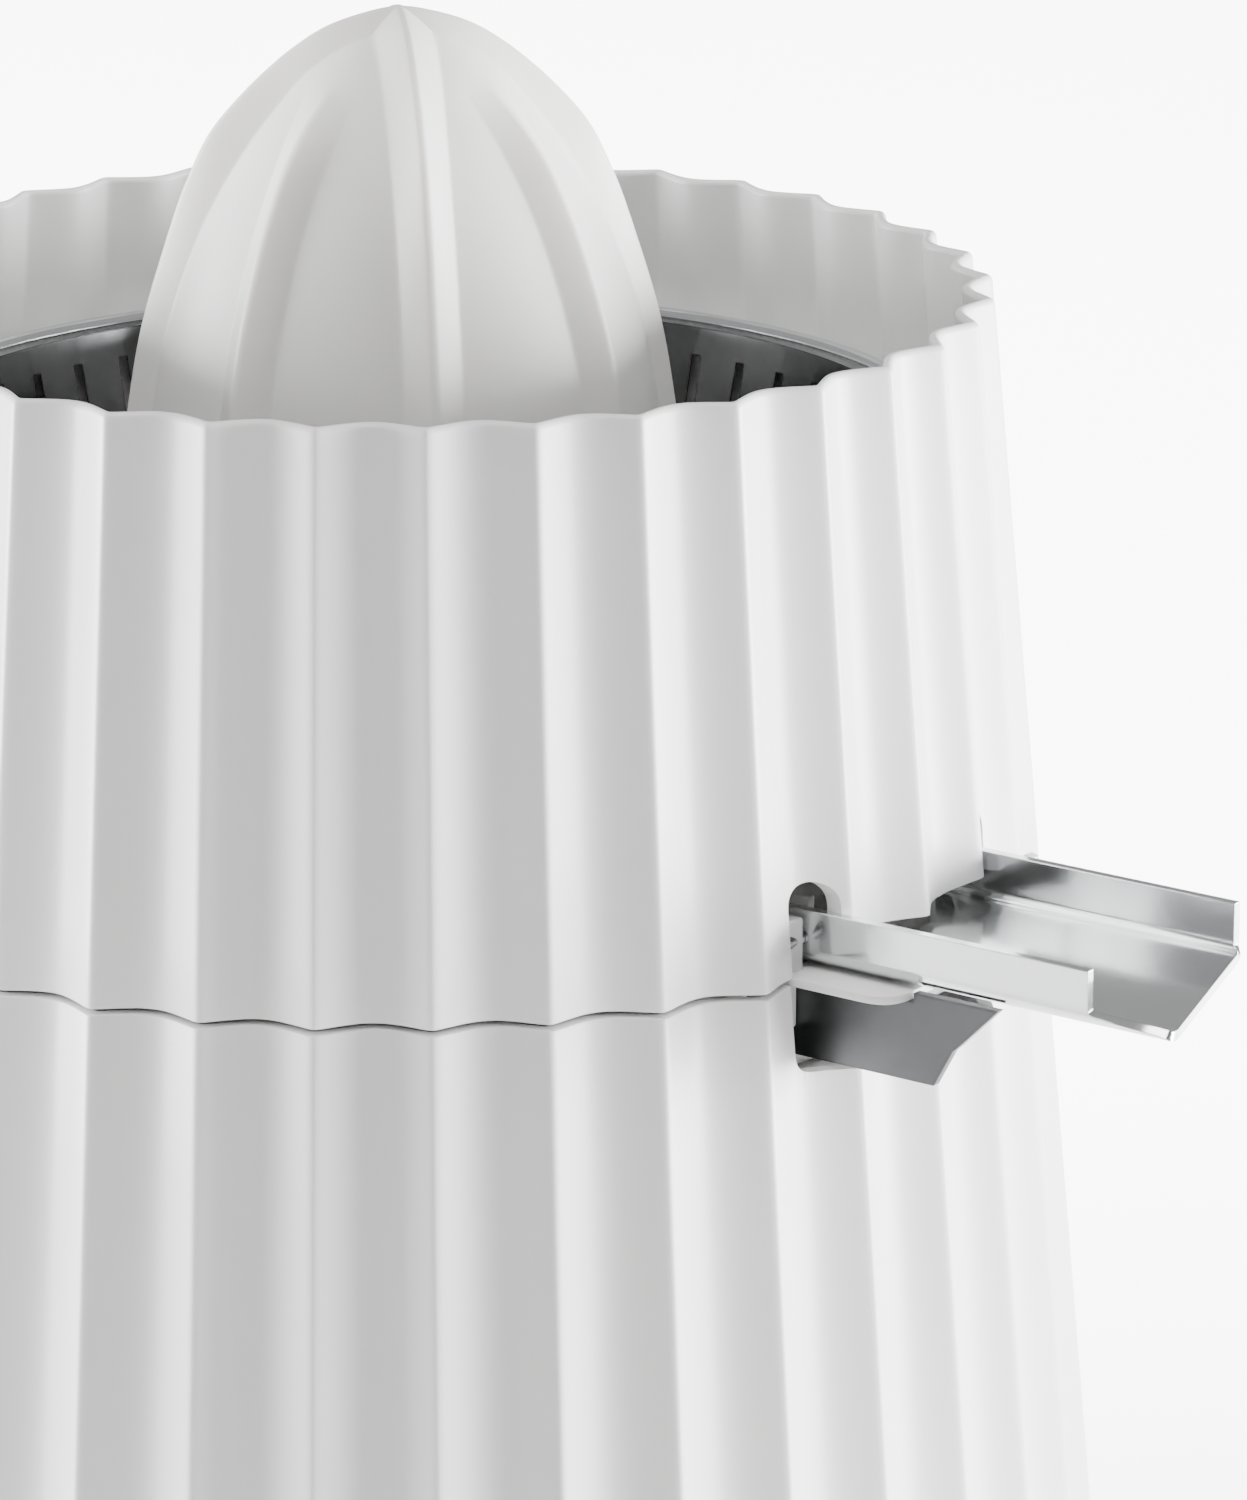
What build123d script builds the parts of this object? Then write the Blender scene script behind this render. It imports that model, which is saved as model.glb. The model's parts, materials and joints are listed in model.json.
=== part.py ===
from build123d import *
import math
import os

# Electric citrus press. Millimetres, +Z up, spout towards -Y.
# The origin is on the press's axis, in the plane that its feet stand on.

# ---- overall sizes -------------------------------------------------------
rim_radius = 62.0          # pleat ridges at the collar's rim
rim_z = 262.0              # height of the rim
parting_z = 202.0          # joint line between collar and lower housing
slope = 0.0914             # growth of the radius per millimetre downwards
housing_bottom_z = 2.0
parting_gap = 0.5

# ---- pleats and walls ----------------------------------------------------
pleats = 36
pleat_depth_share = 0.037  # depth of a pleat as a share of its ridge radius
valley_half_angle = 1.1    # degrees, half the narrow floor of a pleat
wall = 1.6                 # plastic left under the pleat floors

# ---- spout, window and bracket --------------------------------------------
spout_half_width = 14.05
spout_sheet = 1.0
spout_top_z = parting_z + 6.65
spout_floor_z = parting_z + 0.75   # underside of the channel
spout_bend = 1.6
spout_inner_end = rim_radius - 4.0 # distances from the axis
spout_wall_end = rim_radius + 33.5
spout_lip_end = rim_radius + 43.0
spout_pivot = (rim_radius - 1.5, parting_z + 3.6)
window_half_width = spout_half_width + 3.45
window_top_z = parting_z + 10.0
tongue_half_width = spout_half_width - 1.45
tongue_bottom_z = parting_z + 3.4
tongue_corner = (6.5, 1.1) # width and height of the corner cuts
ledge_thickness = 0.95
ledge_reach = rim_radius + 12.5
ledge_corner = 3.5
bracket_sheet = 1.0
bracket_half_width = spout_half_width - 0.05
bracket_bottom_z = parting_z - 8.9
bracket_reach = rim_radius + 23.0
body_gap = 0.4             # clearance between bodies that move apart
pivot_pin_radius = 1.2
running = 0.05             # radial clearance of a running fit

# ---- juice bowl, filter and reamer ------------------------------------------
bowl_radius = rim_radius - 6.0
bowl_wall = 1.6
bowl_rim_z = rim_z - 16.8
bowl_floor_z = parting_z + 3.2     # floor's lowest point, at the outlet
bowl_floor_slope = 4.0     # degrees
bowl_floor = 1.8
outlet_half_width = spout_half_width - 3.55
outlet_height = 4.3
lip_end = rim_radius - 1.7
chimney_bottom_z = parting_z + 2.4
chimney_top_z = parting_z + 27.5
chimney_wall = 2.8
filter_rim_radius = bowl_radius + 1.6
filter_rim_z = bowl_rim_z + 1.4
filter_bead = 1.0
filter_sheet = 0.8
filter_shoulder = (bowl_radius - 5.5, parting_z + 31.0)
filter_floor = (33.8, parting_z + 25.0)
filter_collar_z = parting_z + 28.0
filter_slots = 54
filter_slot_width = 1.2
filter_holes = 24
reamer_bottom_z = parting_z + 28.0
reamer_base_radius = 30.6
reamer_height = 61.4
rib_half_width = 3.3
rib_land = 0.25
rib_height = 1.9
reamer_wall = 2.2
boss_radius = 8.0

# ---- drive ---------------------------------------------------------------
hex_flats = 6.4
hex_clearance = 0.2
spindle_bottom_z = 106.0
spindle_top_z = parting_z + 4.0
drive_hex_top_z = parting_z + 60.0
drive_flange = (6.0, parting_z + 33.0, 2.0)   # radius, bottom and thickness
coupler_radius = 7.0
coupler_z = (parting_z - 0.5, parting_z + 30.0)
coupler_flange = (coupler_radius + 1.6, 1.6)
circlip_z = parting_z + 1.0
bush_wall = 1.15
hub_radius = 8.0

# ---- gearbox and motor -----------------------------------------------------
fine_module = 0.8
coarse_module = 1.0
pinion_teeth = 12
idler_teeth = 48
idler_pinion_teeth = 14
output_teeth = 50
gearbox_radius = 60.0
gearbox_wall = 2.5
gearbox_floor_z = 110.0
gearbox_floor = 3.0
gearbox_height = 28.0
fine_gear_z = (116.0, 6.0)
coarse_gear_z = (124.0, 9.0)
idler_axle_radius = 3.0
motor_radius = 20.0
motor_length = 60.0
motor_shaft_radius = 1.6
motor_screw_offset = 10.5
post_circle = 50.0
post_radius = 4.2
screw_radius = 1.9
deck_z = parting_z - 16.0
deck_thickness = 2.5

# ---- switch and return spring ----------------------------------------------
cap_radius = 9.0
cap_z = 103.0
cap_thickness = 2.0
switch_plate_z = 87.0
switch_plate = 2.5
spring_coil_radius = 4.4
spring_wire = 0.8
spring_turns = 5
plunger_x = 7.6
plunger_radius = 1.0

# ---- base ------------------------------------------------------------------
base_thickness = 2.6
base_z = 2.4
base_screw_inset = 5.5     # from the housing's inner wall to the screws
foot_circle = rim_radius
foot_radius = 7.5
foot_height = 3.6
gland_z = 16.0
gland_radius = 6.0
gland_bore = 3.5

idler_distance = coarse_module * (output_teeth + idler_pinion_teeth) / 2
pinion_distance = fine_module * (idler_teeth + pinion_teeth) / 2
motor_direction = math.degrees(math.atan2(0.28, -0.96))
idler_at = (0.0, idler_distance)
motor_at = (
    pinion_distance * math.cos(math.radians(motor_direction)),
    idler_distance + pinion_distance * math.sin(math.radians(motor_direction)),
)


def ridge_radius(z):
    return rim_radius + slope * (rim_z - z)


def inner_radius(z):
    return ridge_radius(z) * (1 - pleat_depth_share) - wall


def tube(outer, inner, bottom, top, at=(0, 0)):
    ring = Circle(outer) - Circle(inner)
    return Pos(at[0], at[1], bottom) * extrude(ring, top - bottom)


def rod(radius, bottom, top, at=(0, 0)):
    return Pos(at[0], at[1], bottom) * extrude(Circle(radius), top - bottom)


def block(x, y, z):
    """A box between two x, two y and two z values."""
    middle = ((x[0] + x[1]) / 2, (y[0] + y[1]) / 2, (z[0] + z[1]) / 2)
    return Pos(*middle) * Box(abs(x[1] - x[0]), abs(y[1] - y[0]), abs(z[1] - z[0]))


def hex_bar(flats, bottom, top):
    outline = RegularPolygon(flats / 2, 6, major_radius=False)
    return Pos(0, 0, bottom) * extrude(outline, top - bottom)


def revolved(points):
    """A solid of revolution about Z from (radius, height) points."""
    return revolve(Plane.XZ * make_face(Polyline(*points, close=True)), Axis.Z)


def cross_rod(radius, reach, s, z):
    """A rod along X through the middle plane, s in front of the axis."""
    return Pos(0, -s, z) * Rot(0, 90, 0) * Cylinder(radius, 2 * reach)


def screw(head_radius, head_z, shank_top, at, radius=screw_radius):
    """A round-headed screw whose shank points up from head_z."""
    head = rod(head_radius, head_z - 2.2, head_z, at)
    return head + rod(radius, head_z, shank_top, at)


def pleated_face(z):
    """The star-shaped outline of the housing at one height."""
    outer = ridge_radius(z)
    inner = outer * (1 - pleat_depth_share)
    step = 360 / pleats
    points = []
    for i in range(pleats):
        ridge = -90 + i * step
        valley = ridge + step / 2
        for radius, angle in (
            (outer, ridge),
            (inner, valley - valley_half_angle),
            (inner, valley + valley_half_angle),
        ):
            a = math.radians(angle)
            points.append((radius * math.cos(a), radius * math.sin(a), z))
    return make_face(Polyline(*points, close=True))


def pleated_shell(bottom, top):
    outer = loft([pleated_face(bottom), pleated_face(top)], ruled=True)
    cavity = revolved(
        [
            (0, bottom - 1),
            (inner_radius(bottom - 1), bottom - 1),
            (inner_radius(top + 1), top + 1),
            (0, top + 1),
        ]
    )
    return outer - cavity


# ---------------------------------------------------------------- collar body
ledge_top_z = spout_floor_z - 0.3
ledge_bottom_z = ledge_top_z - ledge_thickness
ear_inner = spout_half_width + body_gap
ear_back = spout_inner_end - 1.2


def window_cutter():
    """The U-shaped window: two legs beside the tongue and the space under it."""
    leg_width = window_half_width - tongue_half_width
    middle = (window_half_width + tongue_half_width) / 2
    reach = (ear_back, ledge_reach + 5)
    low = parting_z - 5
    leg = SlotOverall((window_top_z - low) * 2, leg_width, rotation=90)
    shape = Rectangle(2 * window_half_width, 2 * (tongue_bottom_z - low))
    wide, high = tongue_corner
    corner = Polygon((0, 0), (wide, 0), (wide, high), align=None)
    left = Pos(tongue_half_width - wide, tongue_bottom_z - low - 0.001) * corner
    shape += left + mirror(left, Plane.YZ)
    for side in (-1, 1):
        shape += Pos(side * middle, 0) * leg
    shape &= Pos(0, 50) * Rectangle(60, 100)
    placed = Plane(origin=(0, -reach[0], low), x_dir=(1, 0, 0), z_dir=(0, -1, 0)) * shape
    return extrude(placed, reach[1] - reach[0])


def ledge():
    """The thin shelf that closes the window under the spout."""
    depth = ledge_reach - ear_back - 3.5
    sheet = Pos(0, -(ledge_reach - depth / 2)) * Rectangle(2 * window_half_width, depth)
    front = sheet.vertices().sort_by(Axis.Y)[:2]
    sheet = fillet(front, ledge_corner)
    return Pos(0, 0, ledge_bottom_z) * extrude(sheet, ledge_thickness)


def ears():
    """Blocks on the collar's inside that hold the spout's pins and its bracket."""
    shape = Part()
    root_x = window_half_width + 2
    low = parting_z + parting_gap / 2
    top = spout_pivot[1] + pivot_pin_radius + 1.2
    for side in (-1, 1):
        back = (-ear_back, -ear_back - 6)
        upper = block((side * ear_inner, side * root_x), back, (low, top))
        middle = block((side * ear_inner, side * window_half_width), back, (ledge_bottom_z, low))
        lower_y = (-ear_back, -ear_back - 4)
        lower_x = (side * bracket_half_width, side * window_half_width)
        lower = block(lower_x, lower_y, (bracket_bottom_z + 3, ledge_bottom_z))
        shape += upper + middle + lower
    return shape & rod(inner_radius(parting_z) + 0.8, bracket_bottom_z, top + 1)


bracket_screw_at = (ear_back + 2.0, bracket_bottom_z + 5.2)
bracket_screw_radius = 1.0
bracket_screw_end = window_half_width - 1.1
pin_end = window_half_width + 1


def upper_collar():
    shell = pleated_shell(parting_z + parting_gap / 2, rim_z)
    body = shell - window_cutter() + ears() + ledge()
    body -= cross_rod(pivot_pin_radius, pin_end, spout_pivot[0], spout_pivot[1])
    return body - cross_rod(bracket_screw_radius, bracket_screw_end, *bracket_screw_at)


def spout_bracket():
    """Folded steel, open below: two cheeks joined by a web under the ledge."""
    top = ledge_bottom_z
    seat = spout_floor_z - 0.35
    outline = [
        (ear_back, top),
        (ledge_reach + body_gap, top),
        (ledge_reach + body_gap, seat),
        (bracket_reach, seat),
        (bracket_reach - 4.2, seat - 4.2),
        (bracket_reach - 5.4, bracket_bottom_z + 4.0),
        (bracket_reach - 7.6, bracket_bottom_z),
        (ear_back, bracket_bottom_z),
    ]
    face = make_face(Polyline(*[(0, -s, z) for s, z in outline], close=True))
    solid = extrude(face, bracket_half_width, dir=(1, 0, 0), both=True)
    inside = bracket_half_width - bracket_sheet
    hollow = block(
        (-inside, inside),
        (-ear_back + 1, -bracket_reach - 1),
        (bracket_bottom_z - 1, top - bracket_sheet),
    )
    open_front = block(
        (-inside, inside), (-ledge_reach - body_gap + 1, -bracket_reach - 1), (top - 2, seat + 1)
    )
    holes = cross_rod(bracket_screw_radius + running, bracket_half_width + 1, *bracket_screw_at)
    return solid - hollow - open_front - holes


def bracket_screws():
    inside = bracket_half_width - bracket_sheet
    head = cross_rod(2.0, inside, *bracket_screw_at)
    shank = cross_rod(bracket_screw_radius, bracket_screw_end, *bracket_screw_at)
    return (head + shank) - block((-inside + 1.4, inside - 1.4), (-50, -90), (ledge_bottom_z - 15, ledge_bottom_z))


def spout_pivot_pins():
    start = spout_half_width - spout_sheet + 0.05
    rod_through = cross_rod(pivot_pin_radius, pin_end, *spout_pivot)
    return rod_through - block((-start, start), (-50, -90), (parting_z, parting_z + 9))


def spout():
    """A bent steel channel; its floor runs past the walls in a slanted, rounded lip."""
    height = spout_top_z - spout_floor_z
    outer = Pos(0, height) * Rectangle(2 * spout_half_width, 2 * height)
    outer = fillet(outer.vertices().group_by(Axis.Y)[0], spout_bend)
    inner_half = spout_half_width - spout_sheet
    inner = Pos(0, height + spout_sheet) * Rectangle(2 * inner_half, 2 * height)
    inner = fillet(inner.vertices().group_by(Axis.Y)[0], spout_bend - spout_sheet)
    channel = (outer - inner) & (Pos(0, height / 2) * Rectangle(80, height))
    frame = Plane(origin=(0, -spout_inner_end, spout_floor_z), x_dir=(1, 0, 0), z_dir=(0, -1, 0))
    channel = extrude(frame * channel, spout_lip_end - spout_inner_end)
    side = spout_half_width + 1
    lip = Polygon(
        (-side, -spout_wall_end + 5),
        (-side, -spout_lip_end),
        (-spout_half_width + 1.5, -spout_lip_end),
        (spout_half_width, -spout_wall_end - 0.3),
        (side, -spout_wall_end + 5),
        align=None,
    )
    nose = lip.vertices().sort_by(Axis.Y)[1]
    lip = fillet([nose], 2.5)
    floor_top = spout_floor_z + spout_sheet + 0.01
    lip = Pos(0, 0, spout_floor_z - 1) * extrude(lip, floor_top - spout_floor_z + 1)
    body = block((-side, side), (-spout_inner_end + 1, -spout_wall_end), (parting_z, parting_z + 9))
    hole = cross_rod(pivot_pin_radius + running, side, *spout_pivot)
    return (channel & body) + (channel & lip) - hole


# ------------------------------------------------------- bowl, filter, reamer
def sloped_slab(top_offset, bottom, size=90):
    """Everything below the bowl's tilted floor, moved down by top_offset."""
    rise = math.tan(math.radians(bowl_floor_slope)) * bowl_radius
    middle = bowl_floor_z + rise - top_offset
    slab = Pos(0, 0, -40) * Box(2 * size, 2 * size, 80)
    return Pos(0, 0, middle) * Rot(bowl_floor_slope, 0, 0) * slab


def juice_bowl():
    inside = bowl_radius - bowl_wall
    skirt_z = deck_z + deck_thickness + body_gap
    shell = tube(bowl_radius, inside, skirt_z, bowl_rim_z)
    plate = rod(inside + 0.5, bowl_floor_z - 12, bowl_floor_z + 16)
    plate = (plate & sloped_slab(0, 0)) - sloped_slab(bowl_floor, 0)
    flange_low = bowl_rim_z - 1.8
    flange = revolved(
        [
            (inside, flange_low),
            (inner_radius(flange_low), flange_low),
            (inner_radius(bowl_rim_z), bowl_rim_z),
            (inside, bowl_rim_z),
        ]
    )
    sleeve = coupler_radius + running + bush_wall
    chimney = rod(sleeve + chimney_wall, chimney_bottom_z, chimney_top_z)
    bowl = shell + plate + flange + chimney
    bowl -= rod(sleeve, chimney_bottom_z - 1, chimney_top_z + 1)
    side = outlet_half_width + 1
    lip = block((-side, side), (-inside + 2, -lip_end), (bowl_floor_z - 0.9, bowl_floor_z + 3.8))
    lip -= rod(inside, bowl_floor_z - 5, bowl_floor_z + 15)
    passage = block(
        (-outlet_half_width, outlet_half_width),
        (-inside + 6, -lip_end - 1),
        (bowl_floor_z, bowl_floor_z + outlet_height),
    )
    passage -= sloped_slab(0, 0) & rod(inside, bowl_floor_z - 5, bowl_floor_z + 15)
    return bowl + lip - passage


def chimney_bush():
    outer = coupler_radius + running + bush_wall
    return tube(outer, coupler_radius + running, chimney_bottom_z, chimney_top_z)


def chimney_seal():
    """A rubber ring on top of the chimney, round the coupler's flange."""
    outer = coupler_radius + running + bush_wall + chimney_wall
    return tube(outer, coupler_flange[0] + 0.35, chimney_top_z, chimney_top_z + 1.6)


def filter_profile():
    """Underside of the basket's sheet from its rolled rim to its inner collar."""
    inner = filter_floor[0] - filter_sheet
    return [
        (filter_rim_radius - filter_bead, filter_rim_z - 0.5),
        (bowl_radius - bowl_wall - 0.8, filter_rim_z - 0.6),
        filter_shoulder,
        (inner + 3.0, filter_floor[1]),
        (inner, filter_floor[1] + 1.0),
        (inner, filter_collar_z),
    ]


def pulp_filter():
    outer = filter_profile()
    inner = [(r, z + filter_sheet) for r, z in outer[:4]]
    inner += [(r + filter_sheet, z + filter_sheet / 2) for r, z in outer[4:5]]
    inner += [(r + filter_sheet, z) for r, z in outer[5:]]
    basket = revolved(outer + inner[::-1])
    bead = revolve(
        Plane.XZ * Pos(filter_rim_radius - filter_bead, filter_rim_z) * Circle(filter_bead), Axis.Z
    )
    basket += bead
    cuts = []
    (r0, z0), (r1, z1), (r2, z2) = outer[1:4]
    slot_length = 8.0
    lean = math.degrees(math.atan2(r0 - r1, z0 - z1))
    for i in range(filter_slots):
        turn = Rot(0, 0, i * 360 / filter_slots)
        at = Pos((r0 + r1) / 2, 0, (z0 + z1) / 2 + 0.4) * Rot(0, lean, 0)
        cuts.append(turn * at * Box(4, filter_slot_width, slot_length))
    for i in range(filter_holes):
        turn = Rot(0, 0, (i + 0.5) * 360 / filter_holes)
        at = Pos((r1 + r2) / 2, 0, (z1 + z2) / 2 + 0.4)
        hole = extrude(SlotOverall(7.0, 2.6), 8, both=True)
        cuts.append(turn * at * hole)
    return basket - cuts


def reamer_curve(kind):
    """Radius and depth below the tip: the dome, or the edge of a long or short rib."""
    base = reamer_base_radius
    dome = [
        (0.0, 1.6), (4.0, 2.2), (8.0, 4.2), (10.8, 6.4), (13.0, 9.0), (15.2, 11.8),
        (17.6, 15.4), (20.4, 20.4), (23.0, 26.6), (25.3, 34.0), (27.0, 43.0), (28.2, 52.0),
        (base - rib_height, reamer_height),
    ]
    long_rib = [
        (0.0, 0.0), (4.0, 0.7), (8.0, 2.1), (11.2, 4.1), (14.2, 6.5), (17.2, 9.4),
        (19.6, 12.2), (22.5, 18.0), (25.0, 25.2), (27.4, 33.4), (29.0, 42.4), (30.0, 51.4),
        (base, reamer_height),
    ]
    short_rib = [
        (0.0, 1.6), (4.0, 2.2), (8.0, 4.2), (10.8, 6.4), (13.4, 8.4), (16.6, 11.1),
        (19.0, 13.7), (22.1, 18.8), (25.1, 25.6), (27.6, 33.4), (29.0, 42.4), (30.0, 51.4),
        (base, reamer_height),
    ]
    points = {"dome": dome, "long": long_rib, "short": short_rib}[kind]
    top = reamer_bottom_z + reamer_height
    stretch = reamer_height / 61.4
    return [(r * base / 30.6, top - d * stretch) for r, d in points]


def reamer_section(points, offset, inset=0.0, drop=0.0):
    """Half of the reamer's outline as a face in a plane beside the axis."""
    curve = [(max(r - inset, 0.0), offset, z - drop) for r, z in points]
    curve[0] = (0.0, offset, points[0][1] - drop)
    curve[-1] = (points[-1][0] - inset, offset, reamer_bottom_z)
    edge = Spline(*curve)
    foot = Polyline(curve[-1], (0.0, offset, reamer_bottom_z), curve[0])
    return make_face(Curve() + [edge, foot])


def reamer_rib(kind):
    dome = reamer_curve("dome")
    edge = reamer_curve(kind)
    sections = [
        reamer_section(dome, -rib_half_width, 0.45, 0.35),
        reamer_section(edge, -rib_land),
        reamer_section(edge, rib_land),
        reamer_section(dome, rib_half_width, 0.45, 0.35),
    ]
    return loft(sections, ruled=True)


def reamer():
    body = revolve(reamer_section(reamer_curve("dome"), 0.0), Axis.Z)
    long_rib = reamer_rib("long")
    short_rib = reamer_rib("short")
    for i in range(4):
        body += Rot(0, 0, 45 + 90 * i) * long_rib
        body += Rot(0, 0, 90 * i) * short_rib
    inner = [(r - reamer_wall, z - reamer_wall) for r, z in reamer_curve("dome")[2:-1]]
    base = reamer_base_radius - rib_height - reamer_wall
    low = reamer_bottom_z - 1
    cavity = revolved([(0, low), (base, low)] + inner[::-1] + [(0, inner[0][1])])
    boss_bottom = drive_flange[1] + drive_flange[2] + 0.3
    boss = rod(boss_radius, boss_bottom, reamer_bottom_z + reamer_height - 6)
    body = body - (cavity - boss)
    socket = hex_bar(hex_flats + 2 * hex_clearance, low, drive_hex_top_z + 0.5)
    return body - socket


# ---------------------------------------------------------------------- drive
def drive_coupler():
    low, high = coupler_z
    body = rod(coupler_radius, low, high)
    radius, thickness = coupler_flange
    body += rod(radius, high - thickness, high)
    body -= hex_bar(hex_flats + 2 * hex_clearance, low - 1, high + 1)
    groove = tube(coupler_radius + 1, coupler_radius - 0.8, circlip_z, circlip_z + 0.8)
    return body - groove


def coupler_circlip():
    ring = tube(coupler_radius + 2.2, coupler_radius - 0.8, circlip_z, circlip_z + 0.8)
    return ring - block((-1.5, 1.5), (0, 12), (circlip_z - 1, circlip_z + 2))


def drive_hex():
    radius, low, thickness = drive_flange
    bar = hex_bar(hex_flats, spindle_top_z + 0.1, drive_hex_top_z)
    return bar + rod(radius, low, low + thickness)


def spindle():
    return hex_bar(hex_flats, spindle_bottom_z, spindle_top_z)


def thrust_cap():
    body = rod(cap_radius, cap_z, cap_z + cap_thickness)
    body += rod(6.0, cap_z + cap_thickness, spindle_bottom_z + 2.5)
    return body - hex_bar(hex_flats, spindle_bottom_z, spindle_bottom_z + 5)


def press_return_spring():
    low = switch_plate_z + switch_plate
    height = cap_z - low
    pitch = (height - spring_wire) / spring_turns
    path = Helix(pitch=pitch, height=height - spring_wire, radius=spring_coil_radius)
    start = path @ 0
    section = Plane(origin=start, z_dir=path % 0) * Circle(spring_wire / 2)
    coil = sweep(section, path=path)
    return Pos(0, 0, low + spring_wire / 2) * coil


def gear_outline(teeth, module, thickness=0.44):
    """Involute teeth, the first one centred on +X; thickness is a share of the pitch."""
    pitch = teeth * module / 2
    base = pitch * math.cos(math.radians(20))
    tip = pitch + 0.85 * module
    root = pitch - 1.15 * module
    involute = math.tan(math.radians(20)) - math.radians(20)

    def half_angle(radius):
        angle = math.acos(min(1.0, base / radius))
        return thickness * math.pi / teeth + involute - (math.tan(angle) - angle)

    low = max(base, root)
    radii = [root, low + 0.02, (low + pitch) / 2, pitch, (pitch + tip) / 2, tip]
    flank = [(r, half_angle(max(r, low))) for r in radii]
    points = []
    for i in range(teeth):
        middle = 2 * math.pi * i / teeth
        tooth = [(r, middle - a) for r, a in flank] + [(r, middle + a) for r, a in flank[::-1]]
        points += [(r * math.cos(a), r * math.sin(a)) for r, a in tooth]
    return make_face(Polyline(*points, close=True))


def gear(teeth, module, span, at, tooth_angle):
    """A spur gear with one tooth pointing at tooth_angle degrees."""
    outline = Rot(0, 0, tooth_angle) * gear_outline(teeth, module)
    return Pos(at[0], at[1], span[0]) * extrude(outline, span[1])


def output_gear():
    wheel = gear(output_teeth, coarse_module, coarse_gear_z, (0, 0), 90 + 180 / output_teeth)
    floor_z = gearbox_floor_z + 0.2
    top = gearbox_floor_z + gearbox_floor + gearbox_height + 3
    wheel += rod(hub_radius, floor_z, top)
    z, width = coarse_gear_z
    lightening = tube(20, 11, z + 2.5, z + width + 1)
    return wheel - lightening - hex_bar(hex_flats + 2 * hex_clearance, floor_z - 1, top + 1)


def idler_gear():
    low, width = fine_gear_z
    wheel = gear(idler_teeth, fine_module, fine_gear_z, idler_at, motor_direction)
    top = coarse_gear_z[0] + coarse_gear_z[1]
    small = (low + width, top - low - width)
    wheel += gear(idler_pinion_teeth, coarse_module, small, idler_at, -90)
    return wheel - rod(idler_axle_radius + running, low - 1, top + 1, idler_at)


def idler_axle():
    top = gearbox_floor_z + gearbox_floor + gearbox_height + 1.5
    return rod(idler_axle_radius, gearbox_floor_z + 0.5, top, idler_at)


def motor_pinion():
    low, width = fine_gear_z
    angle = motor_direction + 180 + 180 / pinion_teeth
    wheel = gear(pinion_teeth, fine_module, fine_gear_z, motor_at, angle)
    return wheel - rod(motor_shaft_radius, low - 1, low + width + 1, motor_at)


motor_top_z = gearbox_floor_z - 3.0
motor_bottom_z = motor_top_z - motor_length


def motor_rotor():
    """Shaft with its wound core, drawn as a plain drum."""
    top = fine_gear_z[0] + fine_gear_z[1] + 0.5
    shaft = rod(motor_shaft_radius, motor_bottom_z - 2, top, motor_at)
    return shaft + rod(motor_radius - 5, motor_bottom_z + 14, motor_top_z - 8, motor_at)


def motor_can():
    """Drawn steel can with a boss that centres it in the gearbox floor."""
    boss = motor_top_z + 3.0
    can = rod(motor_radius, motor_bottom_z + 6, motor_top_z, motor_at)
    can -= rod(motor_radius - 1.6, motor_bottom_z + 5, motor_top_z - 1.6, motor_at)
    can += rod(6.0, motor_top_z - 1.6, boss, motor_at)
    can -= rod(motor_shaft_radius + running, motor_top_z - 3, boss + 1, motor_at)
    for x, y in motor_screw_places():
        can -= rod(1.5, motor_top_z - 3, motor_top_z + 1, (x, y))
    return can


def motor_screw_places():
    x, y = motor_at
    return [(x, y - motor_screw_offset), (x, y + motor_screw_offset)]


def motor_rear_cap():
    cap = rod(motor_radius, motor_bottom_z, motor_bottom_z + 6, motor_at)
    cap -= rod(motor_radius - 3, motor_bottom_z + 2, motor_bottom_z + 7, motor_at)
    cap += rod(4.5, motor_bottom_z, motor_bottom_z + 6, motor_at)
    return cap - rod(motor_shaft_radius + running, motor_bottom_z - 4, motor_bottom_z + 8, motor_at)


def post_places():
    reach = post_circle * math.sqrt(0.5)
    return [(x, y) for x in (-reach, reach) for y in (-reach, reach)]


def gearbox_base():
    low = gearbox_floor_z
    top = low + gearbox_floor + gearbox_height
    body = rod(gearbox_radius, low, low + gearbox_floor)
    body += tube(gearbox_radius, gearbox_radius - gearbox_wall, low, top)
    body += rod(hub_radius + running + 4.5, low, low + 5)
    body += rod(idler_axle_radius + 2.5, low, low + 5.5, idler_at)
    for at in post_places():
        body += rod(post_radius, low, top, at)
        body -= rod(screw_radius + running, low - 1, top + 1, at)
    body -= rod(hub_radius + running + 2, low - 1, low + 6)
    body -= rod(idler_axle_radius, low + 0.5, low + 8, idler_at)
    body -= rod(6.0, low - 1, low + 6, motor_at)
    for at in motor_screw_places():
        body -= rod(1.5 + running, low - 1, low + 6, at)
    return body


def lower_spindle_bush():
    return tube(hub_radius + running + 2, hub_radius + running, gearbox_floor_z, gearbox_floor_z + 5)


def gearbox_cover():
    low = gearbox_floor_z + gearbox_floor + gearbox_height
    body = rod(gearbox_radius, low, low + 2.5) + rod(hub_radius + running + 4.5, low - 3, low + 2.5)
    body += rod(idler_axle_radius + 2.5, low - 3, low + 2.5, idler_at)
    body -= rod(hub_radius + running + 2, low - 4, low + 4)
    body -= rod(idler_axle_radius, low - 4, low + 1.5, idler_at)
    for at in post_places():
        body -= rod(screw_radius + running, low - 1, low + 4, at)
    return body


def upper_spindle_bush():
    low = gearbox_floor_z + gearbox_floor + gearbox_height
    return tube(hub_radius + running + 2, hub_radius + running, low - 3, low + 2.5)


def gearbox_screws():
    top = gearbox_floor_z + gearbox_floor + gearbox_height + 14
    return Compound([screw(3.6, gearbox_floor_z, top, at) for at in post_places()])


def motor_screws():
    head = gearbox_floor_z + gearbox_floor
    pair = []
    for at in motor_screw_places():
        pair.append(rod(2.4, head, head + 1.6, at) + rod(1.5, motor_top_z - 1.5, head, at))
    return Compound(pair)


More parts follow.
